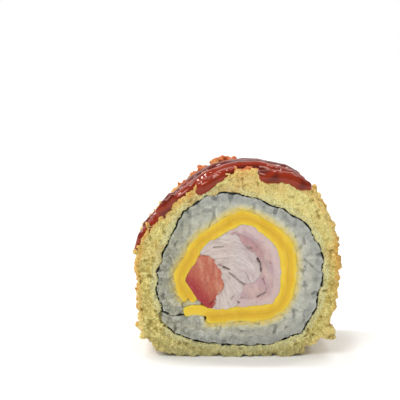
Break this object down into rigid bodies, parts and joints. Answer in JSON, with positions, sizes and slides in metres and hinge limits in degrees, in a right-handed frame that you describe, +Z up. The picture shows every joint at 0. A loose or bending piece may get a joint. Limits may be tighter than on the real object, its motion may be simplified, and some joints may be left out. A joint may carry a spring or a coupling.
{
  "type": "fried sushi roll slice",
  "caption": "Thick slice of a crumb-fried sushi roll, standing on its flat underside, with sauce over its top and ham, chicken, tomato and cheese in rice and nori.",
  "frame": {"origin": "middle of the slice's outer box, at the height of its flat underside", "axes": "+Z up, +Y along the roll's axis away from the cut face that the picture shows, +X to the right as that face is seen"},
  "size_m": [0.06, 0.0292, 0.0554],
  "materials": {
    "crust": "craggy golden fried crumb with a glossy dark red-brown sauce over its top",
    "nori": "damp, near black",
    "rice": "moist, blue-grey white, translucent grains",
    "cheese": "smooth, satin, deep yellow",
    "ham": "moist, pale pink",
    "chicken": "moist, white with a pink tinge, fine fibres",
    "tomato": "wet, orange-red flesh with a crimson skin"
  },
  "bodies": {
    "root": {"crust": "crust", "nori": "nori", "rice": "rice", "cheese_outer": "cheese", "cheese_inner": "cheese", "ham_outer": "ham", "ham_inner": "ham", "chicken_large": "chicken", "chicken_small": "chicken", "tomato": "tomato"}
  },
  "joints": []
}
